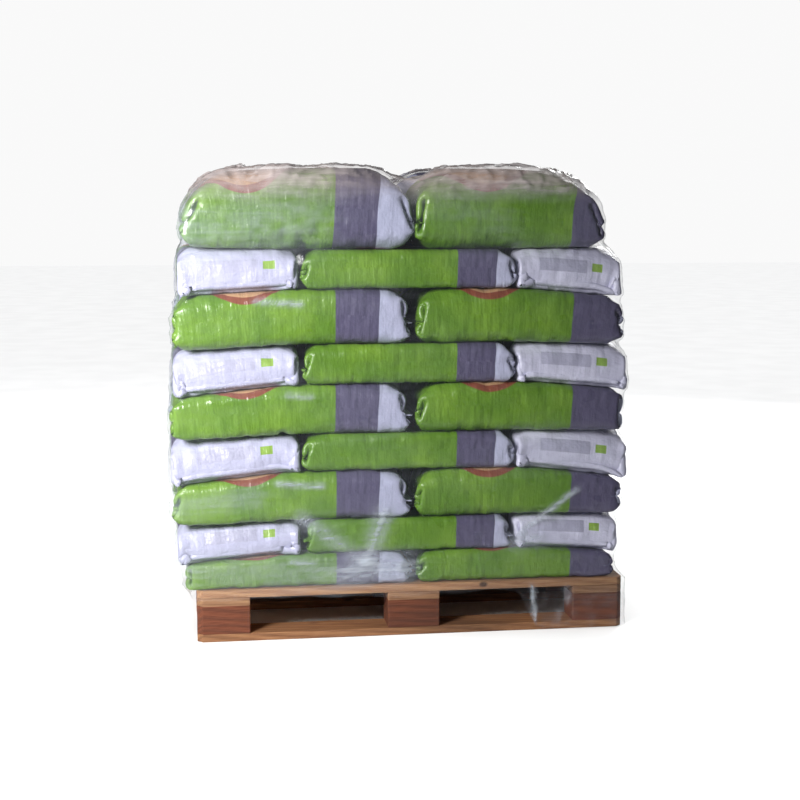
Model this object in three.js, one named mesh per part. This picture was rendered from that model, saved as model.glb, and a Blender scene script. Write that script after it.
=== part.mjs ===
// A wooden block pallet loaded with nine layers of filled plastic sacks and wrapped in stretch film.
// Millimetres, +Z up. The origin is on the floor under the middle of the pallet.
// +X runs to the right along the long side, and the front of the load faces -Y.
import * as THREE from "three";

// Pallet: a four-way block pallet of the 1200 x 800 size.
const PALLET_LENGTH = 1200;
const PALLET_WIDTH = 800;
const BOARD_THICKNESS = 22;
const BLOCK_HEIGHT = 78;
const WIDE_BOARD = 145;
const NARROW_BOARD = 100;
const CORNER_CUT = 15;

// Load: four sacks in a layer. Odd layers hold two rows of two sacks laid lengthwise.
// Even layers hold a crosswise sack at each end and two lengthwise sacks between them.
const SACK_GAP = 0.3;
const LOAD_FRONT = -393;
const LOAD_BACK = 393;
const CROSS_SACK_LENGTH = 685;
const CROSS_INNER = [-313, 291]; // the inner sides of the two crosswise sacks of an even layer
const ROW_JOINT = 4; // where the two sacks of a row meet in an odd layer

// How far each layer reaches to the left and to the right, bottom to top.
// The load bellies out between its foot and its top.
const LAYER_ENDS = [
  [-614, 566],
  [-630, 583],
  [-640, 596],
  [-648, 608],
  [-652, 619],
  [-655, 617],
  [-650, 609],
  [-638, 590],
  [-624, 544],
];

// Heights of the faces between the layers, bottom to top: at the left end of the load, over its middle,
// and at the right end. The faces are level over the middle and slope evenly to each end.
const LAYER_FACES = [
  [144, 144, 144],
  [212, 236, 212],
  [321, 329, 328],
  [433, 466, 428],
  [558, 568, 562],
  [674, 706, 678],
  [800, 815, 805],
  [948, 966, 938],
  [1078, 1072, 1078],
  [1276, 1290, 1268],
];
const SLOPE_START_LEFT = -312;
const SLOPE_START_RIGHT = 300;
const SLOPE_END_LEFT = -620;
const SLOPE_END_RIGHT = 590;

// Roundings of a sack: how far its ends and its long sides curve in, at the flat faces above and below.
const END_ROUNDING = 60;
const SIDE_ROUNDING = 35;
const SQUARENESS = 4; // the power of the roundings' curves: 2 is an ellipse, more is fuller
const TOP_END_ROUNDING = 120; // nothing presses on the top layer, so its sacks taper to their ends
const TOP_SQUARENESS = 2.3;
const CORNER_STEPS = 2;
const SEAL_LENGTH = 9; // the flat seal past each end of the filled part, which the solid leaves out

// Stretch film.
const FILM_THICKNESS = 1;
const FILM_CLEARANCE = 0.5;
const FILM_END_CLEARANCE = 3.5; // more of it at the two ends, where the film spans from layer to layer
const FILM_FOOT = 126; // height of its lower edge, around the deck boards
const FILM_LEFT_FLARE = 6; // how far it stands off the deck's left end, where the lowest sacks overhang
const FILM_CORNER = 18;
const FILM_DECK_CORNER = 12;
const FILM_RIM_CORNER = 8;
const FILM_BACK_DIP = 115; // how far in from the back it is drawn where a crosswise sack ends short of it
const FILM_DIP_HEIGHTS = [0.36, 0.64]; // the lower and the upper end of the dip, as shares of its layer
const FILM_DIP_START = 12; // where along the load such a dip starts, past the start of the faces' slope
const FILM_CORNER_STEPS = 4;
const FILM_SHOULDER_STEPS = 4;
const FILM_FACE_INSET = 5; // how far inside the further of two layers it crosses the face between them
const FILM_TURNED_OVER = 90; // how far it reaches over the top of the load, past the shoulder
const FILM_RIM_LIFT = 18; // how far its upper edge stands off the load
const FILM_JOINT_DIP = 24; // how far its top dips between the left and the right sacks
const FILM_JOINT_REACH = 44; // how far to each side of them the dip reaches

const WOOD = { color: 0xb9763f, roughness: 0.75, metalness: 0 };
const FOOT_WOOD = { color: 0xa0613a, roughness: 0.8, metalness: 0 };
const SACK_FILM = { color: 0x6fa52a, roughness: 0.35, metalness: 0 };
const CLEAR_FILM = { color: 0xdfe3ea, roughness: 0.15, metalness: 0, transparent: true, opacity: 0.3 };

const LAYER_COUNT = LAYER_FACES.length - 1;
const DECK_TOP = 2 * BOARD_THICKNESS + BLOCK_HEIGHT + BOARD_THICKNESS;

const pallet = new THREE.Group();
const load = new THREE.Group();

function addMesh(group, name, geometry, look) {
  const mesh = new THREE.Mesh(geometry, new THREE.MeshStandardMaterial(look));
  mesh.name = name;
  group.add(mesh);
  return mesh;
}

// A sawn piece between two corners. Where it reaches a corner of the pallet, that corner is cut off.
function sawnPiece(name, [x0, x1], [y0, y1], [z0, z1], look) {
  const outline = [];
  const turn = [
    [x0, y0],
    [x1, y0],
    [x1, y1],
    [x0, y1],
  ];
  turn.forEach(([x, y], i) => {
    const isPalletCorner = Math.abs(x) === PALLET_LENGTH / 2 && Math.abs(y) === PALLET_WIDTH / 2;
    if (!isPalletCorner) {
      outline.push(new THREE.Vector2(x, y));
      return;
    }
    const corner = new THREE.Vector2(x, y);
    for (const neighbour of [turn[(i + 3) % 4], turn[(i + 1) % 4]]) {
      const cut = new THREE.Vector2(...neighbour).sub(corner).setLength(CORNER_CUT);
      outline.push(cut.add(corner));
    }
  });
  const extrusion = { depth: z1 - z0, bevelEnabled: false };
  const geometry = new THREE.ExtrudeGeometry(new THREE.Shape(outline), extrusion);
  addMesh(pallet, name, geometry, look).position.z = z0;
}

function buildPallet() {
  const halfLength = PALLET_LENGTH / 2;
  const halfWidth = PALLET_WIDTH / 2;
  const footHeights = [0, BOARD_THICKNESS];
  const blockHeights = [BOARD_THICKNESS, BOARD_THICKNESS + BLOCK_HEIGHT];
  const bearerHeights = [blockHeights[1], blockHeights[1] + BOARD_THICKNESS];
  const deckHeights = [bearerHeights[1], DECK_TOP];

  // Three foot boards and, over each, a row of three blocks.
  const footRows = [
    ["front", -halfWidth, -halfWidth + NARROW_BOARD],
    ["middle", -WIDE_BOARD / 2, WIDE_BOARD / 2],
    ["back", halfWidth - NARROW_BOARD, halfWidth],
  ];
  const blockColumns = [
    ["left", -halfLength, -halfLength + WIDE_BOARD],
    ["centre", -WIDE_BOARD / 2, WIDE_BOARD / 2],
    ["right", halfLength - WIDE_BOARD, halfLength],
  ];
  for (const [row, y0, y1] of footRows) {
    sawnPiece(`foot_board_${row}`, [-halfLength, halfLength], [y0, y1], footHeights, FOOT_WOOD);
    for (const [column, x0, x1] of blockColumns)
      sawnPiece(`block_${row}_${column}`, [x0, x1], [y0, y1], blockHeights, WOOD);
  }

  // Three bearers lie across the blocks.
  for (const [column, x0, x1] of blockColumns)
    sawnPiece(`bearer_${column}`, [x0, x1], [-halfWidth, halfWidth], bearerHeights, WOOD);

  // Five deck boards, wide and narrow in turn, evenly spaced.
  const deckWidths = [WIDE_BOARD, NARROW_BOARD, WIDE_BOARD, NARROW_BOARD, WIDE_BOARD];
  const deckGap = (PALLET_WIDTH - deckWidths.reduce((a, b) => a + b)) / (deckWidths.length - 1);
  let y = -halfWidth;
  deckWidths.forEach((width, i) => {
    sawnPiece(`deck_board_${i + 1}`, [-halfLength, halfLength], [y, y + width], deckHeights, WOOD);
    y += width + deckGap;
  });
}

// Height of the face between two layers over a given x.
function faceHeight([left, middle, right], x) {
  if (x < SLOPE_START_LEFT) {
    const share = (SLOPE_START_LEFT - x) / (SLOPE_START_LEFT - SLOPE_END_LEFT);
    return middle + (left - middle) * share;
  }
  if (x > SLOPE_START_RIGHT) {
    const share = (x - SLOPE_START_RIGHT) / (SLOPE_END_RIGHT - SLOPE_START_RIGHT);
    return middle + (right - middle) * share;
  }
  return middle;
}

// Stops along one side of a box: the corner steps, any stops between, and the corner steps again, each
// as the place where the flat part is left and how far round the corner the stop lies, from -1 to 1.
function stopsAlong(start, end, rounding, between = []) {
  const shares = Array.from({ length: CORNER_STEPS }, (_, i) => (i + 1) / CORNER_STEPS);
  const steps = shares.map((share) => Math.tan(share * (Math.PI / 4)));
  const first = start + rounding;
  const last = end - rounding;
  return [
    ...steps.map((t) => [first, -t]).reverse(),
    [first, 0],
    ...between.filter((v) => v > first && v < last).map((v) => [v, 0]),
    ...(last - first > 1e-6 ? [[last, 0]] : []),
    ...steps.map((t) => [last, t]),
  ];
}

function endRounding(layer) {
  return layer === LAYER_COUNT ? TOP_END_ROUNDING : END_ROUNDING;
}

function squareness(layer) {
  return layer === LAYER_COUNT ? TOP_SQUARENESS : SQUARENESS;
}

// A filled sack between two layer faces: a box with full roundings, so that its sides and ends curve all
// the way from the flat face below to the one above.
function sack(name, layer, [x0, x1], [y0, y1], [endRoundingX, endRoundingY]) {
  const stops = [
    stopsAlong(x0, x1, endRoundingX, [SLOPE_START_LEFT, SLOPE_START_RIGHT]),
    stopsAlong(y0, y1, endRoundingY),
    stopsAlong(-1, 1, 1),
  ];
  const roundings = [endRoundingX, endRoundingY, 1];
  const power = squareness(layer);
  const below = LAYER_FACES[layer - 1];
  const above = LAYER_FACES[layer];
  const geometry = new THREE.BoxGeometry(1, 1, 1, ...stops.map((s) => s.length - 1));
  const position = geometry.getAttribute("position");
  for (let i = 0; i < position.count; i++) {
    const unit = [position.getX(i), position.getY(i), position.getZ(i)];
    const found = unit.map((u, axis) => stops[axis][Math.round((u + 0.5) * (stops[axis].length - 1))]);
    const powers = found.map(([, round]) => Math.abs(round) ** power);
    const length = (powers[0] + powers[1] + powers[2]) ** (1 / power);
    const [x, y, level] = found.map(([base, round], axis) => base + (roundings[axis] * round) / length);
    const low = faceHeight(below, x) + SACK_GAP / 2;
    const high = faceHeight(above, x) - SACK_GAP / 2;
    position.setXYZ(i, x, y, low + ((level + 1) / 2) * (high - low));
  }
  geometry.deleteAttribute("normal");
  geometry.deleteAttribute("uv");
  addMesh(load, name, geometry, SACK_FILM);
}

function filledPart([start, end]) {
  return [start + SEAL_LENGTH, end - SEAL_LENGTH];
}

function lengthwiseSack(name, layer, xRange, yRange) {
  sack(name, layer, filledPart(xRange), yRange, [endRounding(layer), SIDE_ROUNDING]);
}

function crosswiseSack(name, layer, xRange, yRange) {
  sack(name, layer, xRange, filledPart(yRange), [SIDE_ROUNDING, endRounding(layer)]);
}

function buildLoad() {
  const half = SACK_GAP / 2;
  const rows = [
    ["front", [LOAD_FRONT, -half]],
    ["back", [half, LOAD_BACK]],
  ];
  for (let layer = 1; layer <= LAYER_COUNT; layer++) {
    const [left, right] = LAYER_ENDS[layer - 1];
    if (layer % 2 === 1) {
      for (const [row, yRange] of rows) {
        lengthwiseSack(`sack_${layer}_${row}_left`, layer, [left, ROW_JOINT - half], yRange);
        lengthwiseSack(`sack_${layer}_${row}_right`, layer, [ROW_JOINT + half, right], yRange);
      }
      continue;
    }
    const [leftInner, rightInner] = CROSS_INNER;
    const crossRange = [LOAD_FRONT, LOAD_FRONT + CROSS_SACK_LENGTH];
    crosswiseSack(`sack_${layer}_left`, layer, [left, leftInner], crossRange);
    crosswiseSack(`sack_${layer}_right`, layer, [rightInner, right], crossRange);
    const middleRange = [leftInner + SACK_GAP, rightInner - SACK_GAP];
    for (const [row, yRange] of rows) {
      lengthwiseSack(`sack_${layer}_${row}_middle`, layer, middleRange, yRange);
    }
  }
}

// One turn of the film, as points round a rectangle with rounded corners, each at the height given for
// its x. Where it dips at the back, the two corners there are long, shallow quarter ellipses.
function filmTurn([x0, x1], [y0, y1], corner, heightAt, dip = 0) {
  const joint = [ROW_JOINT + FILM_JOINT_REACH, ROW_JOINT, ROW_JOINT - FILM_JOINT_REACH];
  const stops = [SLOPE_START_RIGHT, ...joint, SLOPE_START_LEFT];
  const depth = dip || corner;
  const toRight = dip ? x1 - SLOPE_START_RIGHT - FILM_DIP_START : corner;
  const toLeft = dip ? SLOPE_START_LEFT - FILM_DIP_START - x0 : corner;
  const sides = [
    [x1 - toRight, y1 - depth, toRight, depth, stops],
    [x0 + toLeft, y1 - depth, toLeft, depth, []],
    [x0 + corner, y0 + corner, corner, corner, stops.toReversed()],
    [x1 - corner, y0 + corner, corner, corner, []],
  ];
  const points = [];
  sides.forEach(([cx, cy, rx, ry, between], quarter) => {
    for (let step = 0; step <= FILM_CORNER_STEPS; step++) {
      const angle = (quarter + step / FILM_CORNER_STEPS) * (Math.PI / 2);
      points.push([cx + rx * Math.cos(angle), cy + ry * Math.sin(angle)]);
    }
    const y = quarter === 0 ? y1 : y0;
    for (const x of between) points.push([x, y]);
  });
  return points.map(([x, y]) => new THREE.Vector3(x, y, heightAt(x)));
}

// A point of a quarter of the top layer's curve, from [1, 0] at no angle to [0, 1] at a right angle.
function topQuarter(angle) {
  const [along, up] = [Math.cos(angle), Math.sin(angle)];
  const length = (along ** TOP_SQUARENESS + up ** TOP_SQUARENESS) ** (1 / TOP_SQUARENESS);
  return [along / length, up / length];
}

// How far the ends of the film's turn round a layer reach. It lies on the filled part of the sacks, but
// it spans the lowest layer on its way from the deck to the second one.
function filmReach(layer, out, deckEnds) {
  const [left, right] = LAYER_ENDS[layer - 1];
  const inset = layer % 2 === 1 ? SEAL_LENGTH : 0;
  const own = [left + inset - out, right - inset + out];
  if (layer > 1) return own;
  const above = filmReach(layer + 1, out, deckEnds);
  return above.map((x, i) => (x + deckEnds[i]) / 2);
}

// Where the film crosses the face between two layers that reach to the two values of x given: a little
// inside the one that reaches further from the middle of the load.
function spanned(first, second) {
  const [inner, outer] = Math.abs(first) < Math.abs(second) ? [first, second] : [second, first];
  const inset = Math.min(FILM_FACE_INSET, Math.abs(outer - inner) / 2);
  return outer - Math.sign(outer) * inset;
}

// The film as a thin wall: it grips the edge of the deck, follows the middle and the faces of each layer,
// dips in behind the ends of the crosswise sacks, rounds the shoulder of the top layer and reaches a
// short way over the load. The middle of the top stays open.
function filmTurns(offset) {
  const turns = [];
  const out = FILM_CLEARANCE + offset;
  const endOut = out + FILM_END_CLEARANCE;
  const deckSides = [-PALLET_WIDTH / 2 - out, PALLET_WIDTH / 2 + out];
  let deckEnds;
  for (const [z, flare] of [[FILM_FOOT, 0], [DECK_TOP, FILM_LEFT_FLARE]]) {
    deckEnds = [-PALLET_LENGTH / 2 - out - flare, PALLET_LENGTH / 2 + out];
    turns.push(filmTurn(deckEnds, deckSides, FILM_DECK_CORNER, () => z));
  }

  const faceOf = (face, x) => faceHeight(LAYER_FACES[face], x);
  const heightIn = (layer, share, x) => faceOf(layer - 1, x) * (1 - share) + faceOf(layer, x) * share;
  const middleOf = (layer, x) => heightIn(layer, 0.5, x);
  const sides = [LOAD_FRONT - out, LOAD_BACK + out];
  for (let layer = 1; layer < LAYER_COUNT; layer++) {
    const ends = filmReach(layer, endOut, deckEnds);
    const endsAbove = filmReach(layer + 1, endOut, deckEnds);
    const between = ends.map((x, i) => spanned(x, endsAbove[i]));
    const isCrosswise = layer % 2 === 0;
    const dip = isCrosswise ? FILM_BACK_DIP : 0;
    for (const share of isCrosswise ? FILM_DIP_HEIGHTS : [0.5])
      turns.push(filmTurn(ends, sides, FILM_CORNER, (x) => heightIn(layer, share, x), dip));
    turns.push(filmTurn(between, sides, FILM_CORNER, (x) => faceOf(layer, x)));
  }

  const [left, right] = filmReach(LAYER_COUNT, endOut, deckEnds);
  const jointDip = (x) => FILM_JOINT_DIP * Math.max(0, 1 - Math.abs(x - ROW_JOINT) / FILM_JOINT_REACH);
  const topOf = (x) => faceOf(LAYER_COUNT, x) + out - jointDip(x);
  const riseOf = (x) => topOf(x) - middleOf(LAYER_COUNT, x);
  for (let step = 0; step <= FILM_SHOULDER_STEPS; step++) {
    const angle = (step / FILM_SHOULDER_STEPS) * (Math.PI / 2);
    const [across, rise] = topQuarter(angle);
    const inX = TOP_END_ROUNDING * (1 - across);
    const inY = SIDE_ROUNDING * (1 - across);
    const corner = FILM_RIM_CORNER + (FILM_CORNER - FILM_RIM_CORNER) * across;
    const heightAt = (x) => middleOf(LAYER_COUNT, x) + riseOf(x) * rise;
    const shoulder = [[left + inX, right - inX], [sides[0] + inY, sides[1] - inY]];
    turns.push(filmTurn(...shoulder, corner, heightAt));
  }
  const rimX = TOP_END_ROUNDING + FILM_TURNED_OVER;
  const rimY = SIDE_ROUNDING + FILM_TURNED_OVER;
  const rim = [[left + rimX, right - rimX], [sides[0] + rimY, sides[1] - rimY]];
  turns.push(filmTurn(...rim, FILM_RIM_CORNER, (x) => topOf(x) + FILM_RIM_LIFT));
  return turns;
}

function buildFilm() {
  const inner = filmTurns(0);
  const outer = filmTurns(FILM_THICKNESS);
  // The wall is a closed sleeve: up the outside, over the rim, down the inside and round the foot.
  const loops = [...outer, ...inner.reverse()];
  const around = loops[0].length;
  const positions = loops.flat().flatMap((p) => p.toArray());
  const faces = [];
  loops.forEach((_, i) => {
    const next = (i + 1) % loops.length;
    const isOuter = i < outer.length;
    for (let j = 0; j < around; j++) {
      const k = (j + 1) % around;
      const [a, b, c, d] = [i * around + j, i * around + k, next * around + k, next * around + j];
      // The same diagonal on both sides of the wall, so that it keeps its thickness where it twists.
      if (isOuter) faces.push(a, b, c, a, c, d);
      else faces.push(a, b, d, b, c, d);
    }
  });
  const geometry = new THREE.BufferGeometry();
  geometry.setAttribute("position", new THREE.Float32BufferAttribute(positions, 3));
  geometry.setIndex(faces);
  addMesh(load, "stretch_film", geometry, CLEAR_FILM);
}

buildPallet();
buildLoad();
buildFilm();

const loadedPallet = new THREE.Group();
loadedPallet.add(pallet, load);

export default loadedPallet;
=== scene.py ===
"""A loaded block pallet: sawn boards, nine layers of filled sacks and the stretch film that holds them."""

import logging
import math
from dataclasses import dataclass, field
from enum import Enum

import bpy
import numpy as np
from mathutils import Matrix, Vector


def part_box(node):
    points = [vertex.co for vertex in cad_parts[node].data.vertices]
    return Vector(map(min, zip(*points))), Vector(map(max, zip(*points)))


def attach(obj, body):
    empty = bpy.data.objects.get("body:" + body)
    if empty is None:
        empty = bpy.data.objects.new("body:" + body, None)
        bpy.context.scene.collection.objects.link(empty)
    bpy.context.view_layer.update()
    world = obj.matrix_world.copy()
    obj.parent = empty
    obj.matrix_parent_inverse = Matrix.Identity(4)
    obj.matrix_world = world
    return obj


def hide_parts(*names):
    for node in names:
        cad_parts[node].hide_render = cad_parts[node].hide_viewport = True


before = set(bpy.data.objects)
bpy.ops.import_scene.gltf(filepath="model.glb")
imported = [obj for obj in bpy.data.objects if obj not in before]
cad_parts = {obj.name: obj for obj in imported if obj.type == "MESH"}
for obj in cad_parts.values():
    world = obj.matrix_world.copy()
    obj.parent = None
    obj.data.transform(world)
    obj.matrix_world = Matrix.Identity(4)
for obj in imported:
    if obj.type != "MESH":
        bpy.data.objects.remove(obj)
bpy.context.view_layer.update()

Array = np.ndarray
Socket = bpy.types.NodeSocket
Span = tuple[float, float]
Place = tuple[float, float, float]

log = logging.getLogger("pallet_of_sacks")

BODY = "root"
# An end of a sack further than this from the middle lies at the load's side, and a nearer one at a joint.
OUTER = 0.35
PRINT_MAP = "print"
FILM_MAP = "film"
TONE = "tone"
HAZE = "haze"


def rgb(code: str) -> tuple[float, float, float, float]:
    """Turns a hex screen colour into a linear colour.

    Args:
        code: six hex digits, as "8fb545".

    Returns:
        Red, green, blue and an alpha of 1.
    """
    screen = np.array([int(code[i : i + 2], 16) for i in (0, 2, 4)]) / 255
    linear = np.where(screen <= 0.04045, screen / 12.92, ((screen + 0.055) / 1.055) ** 2.4)
    return (*(float(v) for v in linear), 1.0)


def smoothstep(low: float, high: float, value: Array) -> Array:
    """3t^2 - 2t^3, where t is how far value lies from low to high, held between 0 and 1."""
    t = np.clip((value - low) / (high - low), 0, 1)
    return t * t * (3 - 2 * t)


def ramp(distance: Array, rounding: float) -> Array:
    """(d + sqrt(d^2 + r^2)) / 2: nothing before zero and d after it, with a rounded corner between."""
    return (distance + np.sqrt(distance**2 + rounding**2)) / 2


class Waves:
    """A smooth random field of two parameters: a sum of plane waves with seeded directions and phases."""

    def __init__(self, seed: int, shortest: float, longest: float, count: int = 28) -> None:
        """Draws the waves.

        Args:
            seed: seed of the random draw.
            shortest: shortest wavelength.
            longest: longest wavelength.
            count: how many waves are summed.
        """
        rng = np.random.default_rng(seed)
        length = np.exp(rng.uniform(np.log(shortest), np.log(longest), count))
        angle = rng.uniform(0, 2 * np.pi, count)
        self.across = 2 * np.pi * np.cos(angle) / length
        self.along = 2 * np.pi * np.sin(angle) / length
        self.phase = rng.uniform(0, 2 * np.pi, count)
        self.scale = np.sqrt(2 / count)

    def at(self, a: Array, b: Array) -> Array:
        """Sum of cos(k1 a + k2 b + phase) over the waves, scaled to a spread of about 1.

        Args:
            a: first parameter.
            b: second parameter, of a shape that broadcasts with the first.

        Returns:
            The field, of the broadcast shape.
        """
        a, b = np.broadcast_arrays(a, b)
        total = np.zeros(a.shape)
        for k1, k2, phase in zip(self.across, self.along, self.phase):
            total += np.cos(k1 * a + k2 * b + phase)
        return total * self.scale


def put(name: str, data: bpy.types.ID) -> bpy.types.Object:
    """Links a new object to the scene, at the origin.

    Args:
        name: name of the object.
        data: its mesh, lamp or camera.

    Returns:
        The object.
    """
    made = bpy.data.objects.new(name, data)
    bpy.context.scene.collection.objects.link(made)
    return made


def make_object(name: str, points: Array, faces: Array, smooth: bool = True) -> bpy.types.Object:
    """Puts vertices and faces into a new object at the origin.

    Args:
        name: name of the object and its mesh.
        points: vertices, of any shape that ends in 3.
        faces: vertex numbers, one row a face.
        smooth: whether the faces are shaded smooth.

    Returns:
        The new object, linked to the scene.
    """
    mesh = bpy.data.meshes.new(name)
    mesh.from_pydata(points.reshape(-1, 3).tolist(), [], faces.tolist())
    mesh.polygons.foreach_set("use_smooth", np.full(len(mesh.polygons), smooth))
    return put(name, mesh)


def add_map(target: bpy.types.Object, name: str, corners: Array) -> None:
    """Gives a mesh a UV map from one (u, v) pair a face corner."""
    layer = target.data.uv_layers.new(name=name)
    layer.data.foreach_set("uv", corners.astype(np.float32).ravel())


def add_value(target: bpy.types.Object, name: str, values: Array) -> None:
    """Gives a mesh a float attribute with one value a vertex."""
    layer = target.data.attributes.new(name, "FLOAT", "POINT")
    layer.data.foreach_set("value", np.asarray(values, dtype=np.float32).ravel())


def tube_faces(rings: int, around: int) -> Array:
    """Quads of a tube of closed rings, facing outwards where the points of a ring run up and over.

    Args:
        rings: how many rings there are.
        around: how many points a ring has.

    Returns:
        Four vertex numbers a row.
    """
    ring = np.arange(rings - 1)[:, None] * around
    point = np.arange(around)[None, :]
    after = (point + 1) % around
    corners = [ring + point, ring + around + point, ring + around + after, ring + after]
    return np.stack(corners, -1).reshape(-1, 4)


class Graph:
    """A material's node tree, built with short calls."""

    def __init__(self, name: str) -> None:
        """Makes an empty material.

        Args:
            name: name of the material.
        """
        self.material = bpy.data.materials.new(name)
        self.material.use_nodes = True
        self.tree = self.material.node_tree
        self.tree.nodes.clear()

    def add(self, kind: str, inputs: dict | None = None, **settings: object) -> bpy.types.Node:
        """Adds a shader node.

        Args:
            kind: the node's type without its ShaderNode prefix.
            inputs: socket name or number to a value or to another node's output.
            settings: properties of the node.

        Returns:
            The node.
        """
        node = self.tree.nodes.new("ShaderNode" + kind)
        for key, value in settings.items():
            setattr(node, key, value)
        for key, value in (inputs or {}).items():
            if isinstance(value, Socket):
                self.tree.links.new(value, node.inputs[key])
            else:
                node.inputs[key].default_value = value
        return node

    def math(
        self, operation: str, a: Socket | float, b: Socket | float = 0.0, clamp: bool = False
    ) -> Socket:
        """One arithmetic step of two numbers."""
        return self.add("Math", {0: a, 1: b}, operation=operation, use_clamp=clamp).outputs[0]

    def mix(self, share: Socket | float, a: object, b: object, blend: str = "MIX") -> Socket:
        """A colour between a and b, or b laid on a by another blend."""
        inputs = {0: share, 6: a, 7: b}
        return self.add("Mix", inputs, data_type="RGBA", blend_type=blend).outputs[2]

    def span(
        self, value: Socket, low: float, high: float, to_low: float = 0.0, to_high: float = 1.0
    ) -> Socket:
        """Maps low to high onto another range, smoothly and held at both ends."""
        inputs = {0: value, 1: low, 2: high, 3: to_low, 4: to_high}
        return self.add("MapRange", inputs, interpolation_type="SMOOTHSTEP").outputs[0]

    def noise(self, place: Socket, scale: float, detail: float = 3.0, roughness: float = 0.5) -> Socket:
        """Fractal noise as one number."""
        inputs = {"Vector": place, "Scale": scale, "Detail": detail, "Roughness": roughness}
        return self.add("TexNoise", inputs).outputs[0]

    def place(self, scale: Place = (1, 1, 1), map_name: str = "") -> Socket:
        """Object coordinates, or those of a UV map, times a scale.

        Args:
            scale: what each coordinate is multiplied by.
            map_name: name of the UV map, or nothing for object coordinates.

        Returns:
            The scaled coordinates.
        """
        if map_name:
            source = self.add("UVMap", uv_map=map_name).outputs[0]
        else:
            source = self.add("TexCoord").outputs["Object"]
        return self.add("Mapping", {"Vector": source, "Scale": scale}).outputs[0]

    def bump(
        self, height: Socket, distance: float, strength: Socket | float = 1.0, under: Socket | None = None
    ) -> Socket:
        """A bump, on top of another where one is given.

        Args:
            height: what the surface follows.
            distance: how far it rises in metres where the height is 1.
            strength: how much of the bump shows.
            under: the normal of the bump below it.

        Returns:
            The bumped normal.
        """
        inputs = {"Height": height, "Distance": distance, "Strength": strength}
        if under is not None:
            inputs["Normal"] = under
        return self.add("Bump", inputs).outputs[0]

    def surface(self, inputs: dict) -> bpy.types.Material:
        """Adds the surface shader.

        Args:
            inputs: its inputs by socket name.

        Returns:
            The finished material.
        """
        shader = self.add("BsdfPrincipled", inputs)
        self.add("OutputMaterial", {"Surface": shader.outputs[0]})
        return self.material


@dataclass(frozen=True)
class WoodFinish:
    """Rough sawn softwood with growth rings, fibre, small knots, grime and, where it is given, a large knot.

    Places of a pattern are in waves a metre along the board, across it and up.
    """

    name: str
    light: str = "c08a5c"
    dark: str = "8a5634"
    grime: str = "3d2a20"
    grime_share: float = 0.35
    knot: Place | None = None
    knot_colour: str = "2c1a12"
    small_knot_colour: str = "4a2a18"
    rings_place: Place = (3.0, 34.0, 34.0)
    warp_place: Place = (2.0, 9.0, 9.0)
    fibre_place: Place = (14.0, 420.0, 420.0)
    patch_place: Place = (1.6, 5.0, 5.0)
    small_knots_place: Place = (3.1, 11.0, 11.0)

    def material(self) -> bpy.types.Material:
        """Builds the material.

        Returns:
            The material.
        """
        g = Graph(self.name)
        grain_place = g.place(self.rings_place)
        warp = g.noise(g.place(self.warp_place), 1.0, 2.0)
        rings = g.add(
            "TexWave",
            {"Vector": grain_place, "Scale": 0.9, "Distortion": 9.0, "Detail": 3.0, "Detail Scale": 0.6},
            bands_direction="DIAGONAL",
        ).outputs["Fac"]
        fibre = g.noise(g.place(self.fibre_place), 1.0, 4.0, 0.65)
        patch = g.noise(g.place(self.patch_place), 1.0, 3.0, 0.6)
        colour = g.mix(g.math("MULTIPLY", rings, 0.55), rgb(self.light), rgb(self.dark))
        colour = g.mix(g.span(fibre, 0.35, 0.75, 0.0, 0.5), colour, rgb(self.dark), "MULTIPLY")
        dirt = g.span(g.math("ADD", patch, g.math("MULTIPLY", warp, 0.4)), 0.62, 0.95, 0.0, self.grime_share)
        colour = g.mix(dirt, colour, rgb(self.grime))
        knots = g.add("TexVoronoi", {"Vector": g.place(self.small_knots_place), "Scale": 1.3})
        off = knots.outputs["Distance"]
        colour = g.mix(g.span(off, 0.035, 0.1, 0.75, 0.0), colour, rgb(self.small_knot_colour))
        if self.knot:
            ends = {0: g.place((1.0, 1.0, 1.6)), 1: self.knot}
            off = g.add("VectorMath", ends, operation="DISTANCE").outputs["Value"]
            colour = g.mix(g.span(off, 0.007, 0.016, 0.85, 0.0), colour, rgb(self.knot_colour))
        height = g.math("ADD", g.math("MULTIPLY", rings, 0.4), fibre)
        roughness, normal = g.span(fibre, 0.3, 0.7, 0.62, 0.85), g.bump(height, 0.0012, 0.8)
        return g.surface({"Base Color": colour, "Roughness": roughness, "Normal": normal})


@dataclass(frozen=True)
class NailFinish:
    """Galvanised nail heads, dulled and a little rusty."""

    name: str = "nail_steel"
    steel: str = "7d7b78"
    rust: str = "5a3826"

    def material(self) -> bpy.types.Material:
        """Builds the material.

        Returns:
            The material.
        """
        g = Graph(self.name)
        rust = g.noise(g.place(), 160.0, 4.0)
        colour = g.mix(g.span(rust, 0.45, 0.65), rgb(self.steel), rgb(self.rust))
        roughness = g.span(rust, 0.4, 0.7, 0.35, 0.8)
        return g.surface({"Base Color": colour, "Metallic": 0.7, "Roughness": roughness})


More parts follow.
